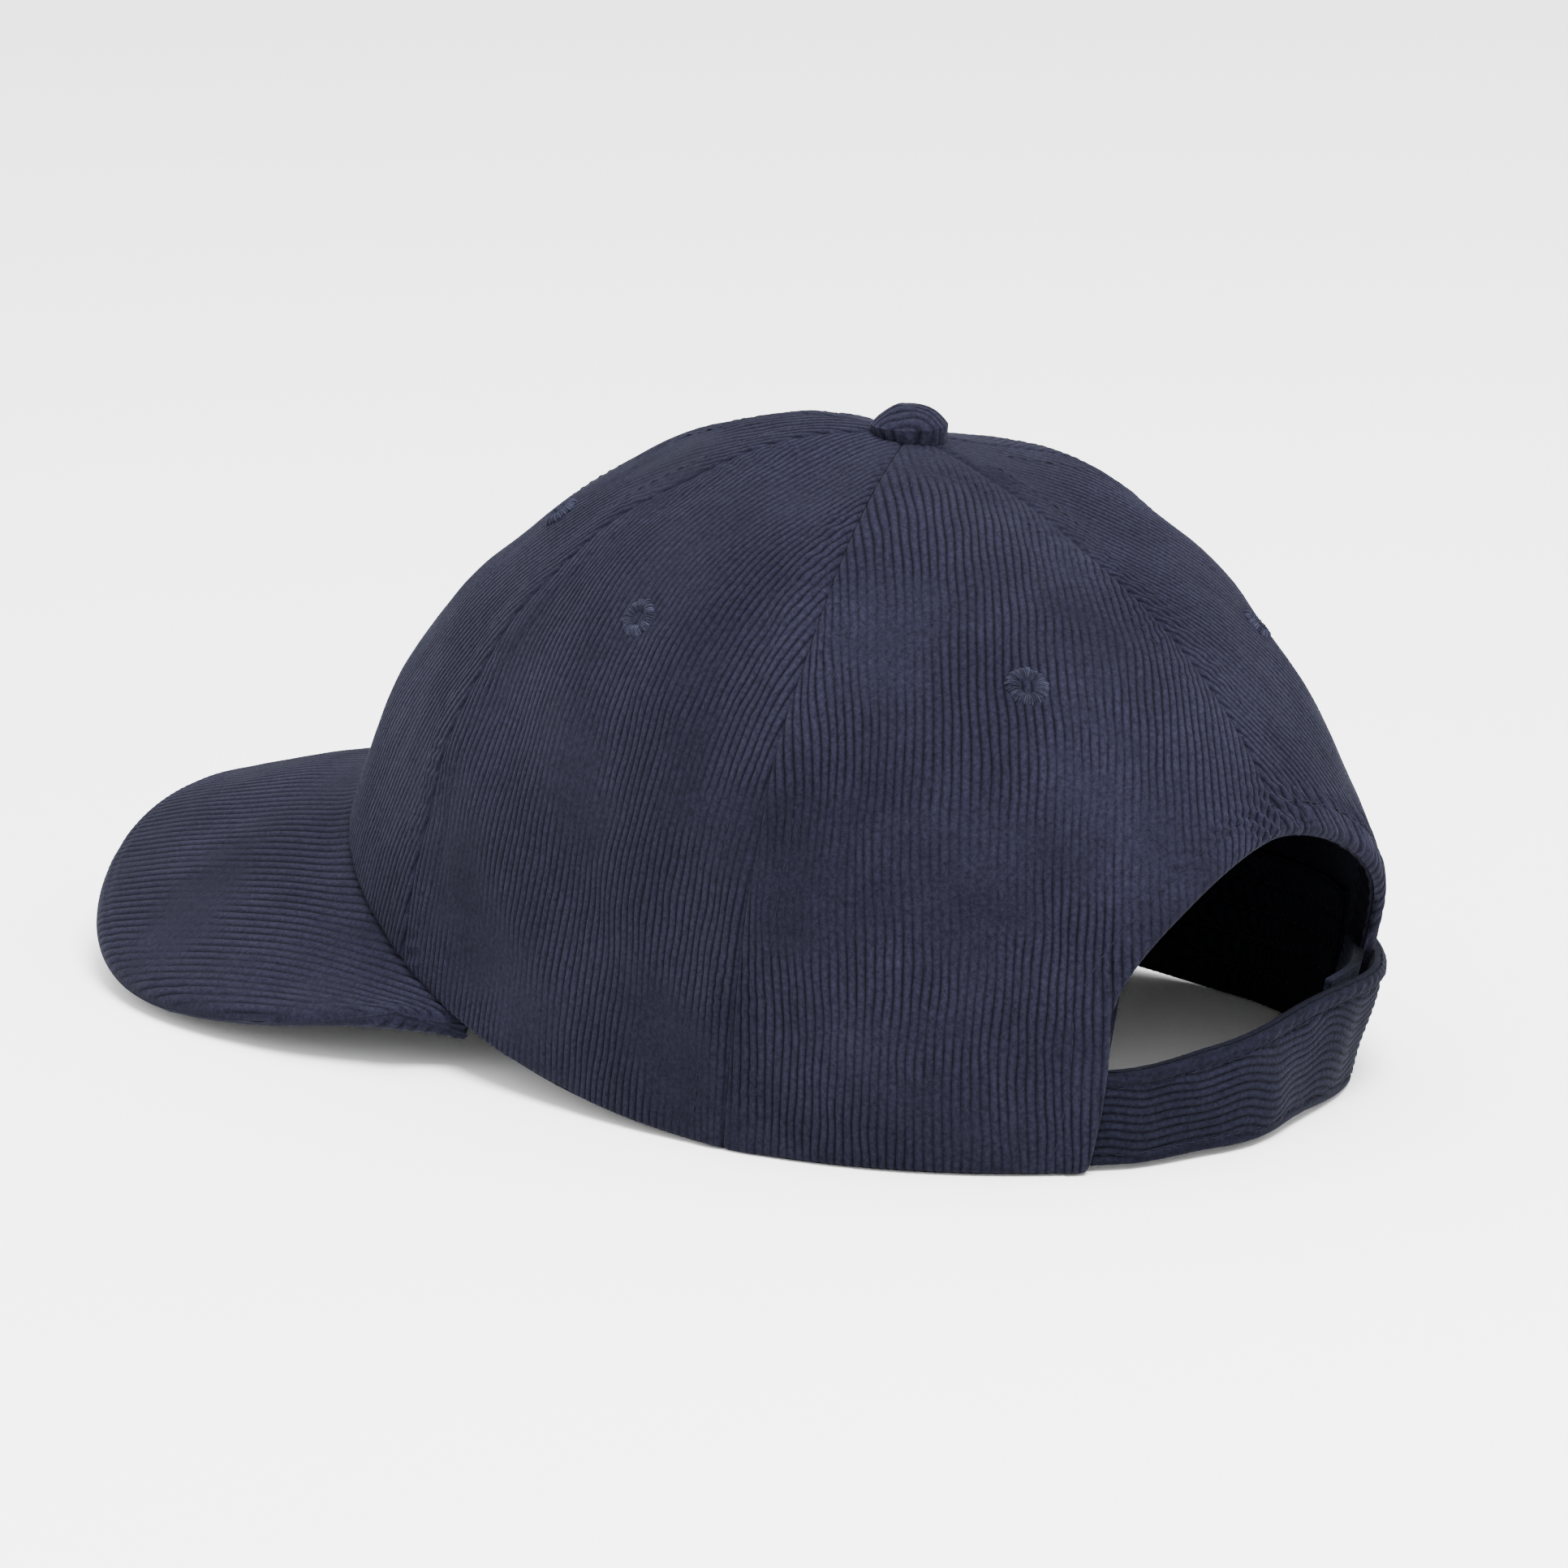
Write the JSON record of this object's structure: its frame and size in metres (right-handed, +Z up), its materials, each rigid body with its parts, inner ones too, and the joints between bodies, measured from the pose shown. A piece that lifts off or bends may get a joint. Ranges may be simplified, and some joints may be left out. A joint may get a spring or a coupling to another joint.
{
  "type": "baseball cap",
  "caption": "Low-profile panelled corduroy cap with a curved visor, covered button, stitched vent eyelets and a rear opening closed by a hook-and-loop strap.",
  "frame": {"origin": "middle of the bounding box in plan, on the surface the cap stands on", "axes": "+X the wearer's left, +Y the back (the visor points to -Y), +Z up"},
  "size_m": [0.157, 0.2696, 0.1207],
  "materials": {
    "corduroy": "navy fine-wale cotton corduroy, washed, soft sheen",
    "thread": "navy polyester embroidery thread, slight sheen",
    "cotton_tape": "navy cotton twill tape, matt",
    "sweatband_cotton": "navy cotton twill with stitched rows, matt",
    "visor_board": "plain polyethylene sheet",
    "button_metal": "plain pressed metal",
    "hook_tape": "woven nylon hook tape",
    "loop_tape": "brushed nylon loop tape",
    "label": "blank woven label"
  },
  "bodies": {
    "crown": {"panel_front_left": "corduroy", "eyelet_front_left": "thread", "panel_front_right": "corduroy", "eyelet_front_right": "thread", "panel_side_left": "corduroy", "eyelet_side_left": "thread", "panel_side_right": "corduroy", "eyelet_side_right": "thread", "panel_back_left": "corduroy", "eyelet_back_left": "thread", "panel_back_right": "corduroy", "eyelet_back_right": "thread", "seam_tape_front": "cotton_tape", "seam_tape_front_left": "cotton_tape", "seam_tape_rear_left": "cotton_tape", "seam_tape_front_right": "cotton_tape", "seam_tape_rear_right": "cotton_tape", "seam_tape_back": "cotton_tape", "sweatband": "sweatband_cotton", "arch_facing": "cotton_tape", "visor_board": "visor_board", "visor_top_cover": "corduroy", "visor_under_cover": "corduroy", "button_cover": "corduroy", "button_shell": "button_metal", "button_washer": "button_metal", "button_post": "button_metal", "strap_root": "corduroy", "right_tab": "corduroy", "loop_tape": "loop_tape", "size_label": "label"},
    "strap_base": {"strap_base": "corduroy", "strap_base_lining": "cotton_tape"},
    "strap_end": {"strap_end": "corduroy", "strap_end_lining": "cotton_tape", "hook_tape": "hook_tape"},
    "care_label": {"care_label": "label"}
  },
  "joints": [
    {"name": "strap_swing", "type": "hinge", "parent": "crown", "child": "strap_base", "pos_m": [0.03809, 0.12463, 0.01], "axis": [0, 0, -1], "range_deg": [0, 100]},
    {"name": "strap_peel", "type": "hinge", "parent": "strap_base", "child": "strap_end", "pos_m": [-0.01741, 0.13504, 0.01], "axis": [0, 0, -1], "range_deg": [0, 110]},
    {"name": "care_label_swing", "type": "hinge", "parent": "crown", "child": "care_label", "pos_m": [0.06592, 0.04604, 0.036], "axis": [0, 1, 0], "range_deg": [0, 70]}
  ]
}
